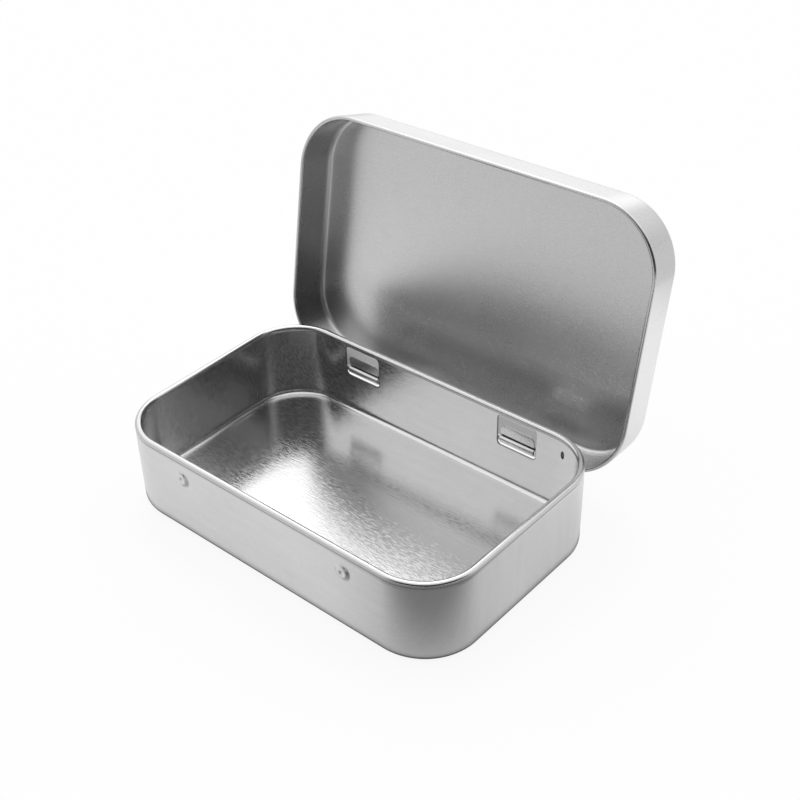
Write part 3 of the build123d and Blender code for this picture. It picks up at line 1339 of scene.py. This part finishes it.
@dataclass
class Studio:
    """A pale table, a surround that gives the light, and the camera at the photograph's angle."""

    outline: Outline
    azimuth: float = 44.46
    elevation: float = 36.16
    roll: float = -3.52
    distance: float = 305.46 * MM
    target: tuple[float, float, float] = (-15.91 * MM, 10.56 * MM, 10.0 * MM)
    focal_px: float = 1328.39
    centre_px: tuple[float, float] = (332.7, 426.01)
    image_px: float = 800.0
    sensor_mm: float = 36.0
    clip: tuple[float, float] = (0.01, 100.0)
    white: float = 1.0
    table_half: float = 3.0
    table_drop: float = 0.02 * MM
    table_tone: float = 0.85
    table_dark: float = 0.08
    table_shade: tuple[float, float] = (31 * MM, 67 * MM)
    shade_side: float = 14 * MM
    shade_edge: tuple[float, float] = (40 * MM, 95 * MM)

    # Steps of painted light and shade in the table's tone for metal: where each begins and ends from
    # front to back, and its size
    painted_light_steps: tuple[tuple[float, float, float], ...] = (
        (-170 * MM, -30 * MM, 0.19), (-28 * MM, 8 * MM, -0.13),
        (15 * MM, 85 * MM, 0.46), (108 * MM, 150 * MM, -0.50),
    )
    far_tone: float = 0.70
    camera_glow: float = 0.90
    glossy_glow: float = 0.80
    level: float = 1.13
    bright_lift: float = 0.26
    bright_way: tuple[float, float, float] = (-0.350, 0.350, 0.869)
    bright_cone: tuple[float, float] = (0.78, 0.92)
    core_lift: float = 1.8
    core_cone: tuple[float, float] = (0.93, 0.98)
    back_lift: float = 0.60
    back_way: tuple[float, float, float] = (-0.470, 0.860, 0.197)
    back_cone: tuple[float, float] = (0.93, 0.975)
    dark_level: float = 0.05
    dark_way: tuple[float, float, float] = (0.700, -0.714, 0.0)
    dark_cone: tuple[float, float] = (0.18, 0.60)
    dark_top: tuple[float, float] = (0.64, 0.88)
    horizon: tuple[float, float] = (0.0, 0.50)
    horizon_level: float = 0.58
    # Painted contact shadow round the tray's foot: where it starts and ends, and how dark
    contact_shadow: tuple[float, float] = (-0.4 * MM, 2.2 * MM)
    contact_shadow_dark: float = 0.06

    def camera(self) -> None:
        """Make the camera from its angles, its distance and the pixel that it looks straight at."""
        az, el, roll = (math.radians(a) for a in (self.azimuth, self.elevation, self.roll))
        back = Vector((math.sin(az) * math.cos(el), -math.cos(az) * math.cos(el), math.sin(el)))
        right = (-back).cross(Vector((0, 0, 1))).normalized()
        up = right.cross(-back)
        right, up = (
            math.cos(roll) * right + math.sin(roll) * up,
            -math.sin(roll) * right + math.cos(roll) * up,
        )
        data = bpy.data.cameras.new("photo_view")
        data.sensor_width = self.sensor_mm
        data.lens = self.focal_px / self.image_px * self.sensor_mm
        data.shift_x = (self.image_px / 2 - self.centre_px[0]) / self.image_px
        data.shift_y = (self.centre_px[1] - self.image_px / 2) / self.image_px
        data.clip_start, data.clip_end = self.clip
        camera = put("photo_view", data)
        turn = Matrix((right, up, back)).transposed().to_4x4()
        camera.matrix_world = Matrix.Translation(Vector(self.target) + back * self.distance) @ turn
        bpy.context.scene.camera = camera

    def floor(self) -> None:
        """Lay a wide pale table that shows near white and keeps the tin's faint shadow.

        The camera sees it plain. Metal sees it glow with painted light and shade: soft steps of tone
        from front to back, a painted shadow towards the front right, where a photographer stands, and a
        painted contact shadow round the tray's foot.
        """
        size = self.table_half
        mesh = bpy.data.meshes.new("table")
        corners = [(-size, -size, 0), (size, -size, 0), (size, size, 0), (-size, size, 0)]
        mesh.from_pydata(corners, [], [(0, 1, 2, 3)])
        mesh.transform(Matrix.Translation((0, 0, -self.table_drop)))
        table = put("table", mesh)
        material = bpy.data.materials.new("table_white")
        kit = NodeKit(material)
        solid = kit.node("ShaderNodeTexCoord", {}, {}, "Object")
        # Painted shadow towards the front right, where a photographer stands
        slant = math.sqrt(0.5)
        ahead = kit.dot(solid, (slant, -slant, 0.0))
        side = kit.dot(solid, (slant, slant, 0.0)) - self.shade_side
        side = kit.node("ShaderNodeMath", {"operation": "ABSOLUTE"}, {0: side})
        dark = kit.ramp(ahead, *self.table_shade) * kit.ramp(side, *self.shade_edge, 1.0, 0.0)
        # Painted light and shade in steps from front to back, which glossy rays see as a glow
        deep = kit.dot(solid, BACKWARD)
        painted_table_light = self.far_tone
        for near, far, step in self.painted_light_steps:
            painted_table_light = painted_table_light + kit.ramp(deep, near, far, 0.0, step)
        # Painted contact shadow round the tray's foot
        painted_table_light = painted_table_light * (1.0 - dark * (1.0 - self.table_dark)) * self._contact_shadow(kit, solid)
        camera, glossy = kit.ray("Camera"), kit.ray("Glossy")
        tone = painted_table_light + camera * (self.white - painted_table_light)
        share = camera * self.camera_glow + glossy * self.glossy_glow
        cloth = kit.node("ShaderNodeBsdfDiffuse", {}, {"Color": kit.grey(self.table_tone)})
        glow = kit.node("ShaderNodeEmission", {}, {"Color": kit.grey(tone)})
        mix = kit.node("ShaderNodeMixShader", {}, {0: share, 1: cloth, 2: glow})
        kit.node("ShaderNodeOutputMaterial", {}, {"Surface": mix})
        table.data.materials.append(material)

    def _contact_shadow(self, kit: NodeKit, solid: Wire) -> Wire:
        """Painted contact shadow: the table's share of its tone beside the tray, from dark under its
        bent foot to full.

        The distance to the tray's outline is the length of what is left of (|x|, |y|) past the
        corners' centres, less the corner's radius.

        Args:
            kit: The table's nodes.
            solid: Places on the table.

        Returns:
            The share, from contact_shadow_dark to 1.
        """
        line = self.outline
        centre = (line.half_front, line.side / 2, 0.0)
        past = kit.vector("SUBTRACT", [kit.vector("ABSOLUTE", [solid]), centre])
        past = kit.vector("MAXIMUM", [past, (0.0, 0.0, 0.0)])
        away = kit.vector("LENGTH", [past], "Value") - line.corner
        return kit.ramp(away, *self.contact_shadow, self.contact_shadow_dark, 1.0)

    def surround(self) -> None:
        """Light the world: pale, brighter overhead and behind, and dark round the photographer."""
        world = bpy.data.worlds.new("surround")
        bpy.context.scene.world = world
        kit = NodeKit(world)
        way = kit.node("ShaderNodeTexCoord", {}, {}, "Generated")
        up = kit.dot(way, UPWARD)
        light = kit.ramp(up, *self.horizon, self.level * self.horizon_level, self.level)
        above = kit.dot(way, self.bright_way)
        light = light + kit.ramp(above, *self.bright_cone, 0.0, self.bright_lift)
        light = light + kit.ramp(above, *self.core_cone, 0.0, self.core_lift)
        light = light + kit.ramp(kit.dot(way, self.back_way), *self.back_cone, 0.0, self.back_lift)
        dark = kit.ramp(kit.dot(way, self.dark_way), *self.dark_cone, 0.0, 1.0 - self.dark_level)
        light = light * (1.0 - dark * kit.ramp(up, *self.dark_top, 1.0, 0.0))
        light = light + kit.ray("Camera") * (self.white - light)
        sky = kit.node("ShaderNodeBackground", {}, {"Color": kit.grey(light)})
        kit.node("ShaderNodeOutputWorld", {}, {"Surface": sky})

    def build(self) -> None:
        """Set up the whole studio."""
        self.camera()
        self.floor()
        self.surround()
        bpy.context.scene.view_settings.view_transform = "Standard"


def main() -> None:
    """Build the tin's pieces in order and dress each one."""
    logging.basicConfig(level=logging.INFO, format="%(name)s: %(message)s")
    tray_sheet = Finish(
        "tray_tinplate", tone=0.70, gloss=0.17, streak=1.05, grain=0.15, cloud=0.12, worn=0.08
    ).build()
    lid_sheet = Finish(
        "lid_tinplate", tone=0.70, gloss=0.28, streak=0.08, grain=0.40, cloud=0.12
    ).build()
    # The beads and hinge bars get a darker copy of the tinplate: painted shade that dims their
    # highlights
    edge = Finish("burnished_edge", tone=0.62, gloss=0.20, streak=0.3, grain=0.3, cloud=0.10).build()
    tin = Tin(Hinge.from_frame())
    tray, lid = Tray(tin), Lid(tin)
    pieces = [
        (tray.shell(), Body.TRAY, Slot.SHEET, ["tray"]),
        (tray.rim(), Body.TRAY, Slot.EDGE, ["tray_rim"]),
        (lid.shell(), Body.LID, Slot.SHEET, ["lid"]),
    ]
    pieces += [(rim, Body.LID, Slot.EDGE, [node]) for rim, node in lid.rims()]
    for side, sign in (("left", -1), ("right", 1)):
        tongue = lid.tongue(sign * lid.hinge_x, f"hinge_tongue_{side}_strip")
        pieces.append((tongue, Body.LID, Slot.SHEET, [f"hinge_tongue_{side}"]))
    for piece, body, slot, nodes in pieces:
        sheet = lid_sheet if body is Body.LID else tray_sheet
        piece.data.materials.append(sheet if slot is Slot.SHEET else edge)
        tin.ride(piece, body, slot, nodes)
    for side in ("left", "right"):
        bar = frame["nodes"][f"hinge_bar_{side}"]
        bar.data.materials.clear()
        bar.data.materials.append(edge)
    Studio(tray.outline).build()


if __name__ == "__main__":
    main()
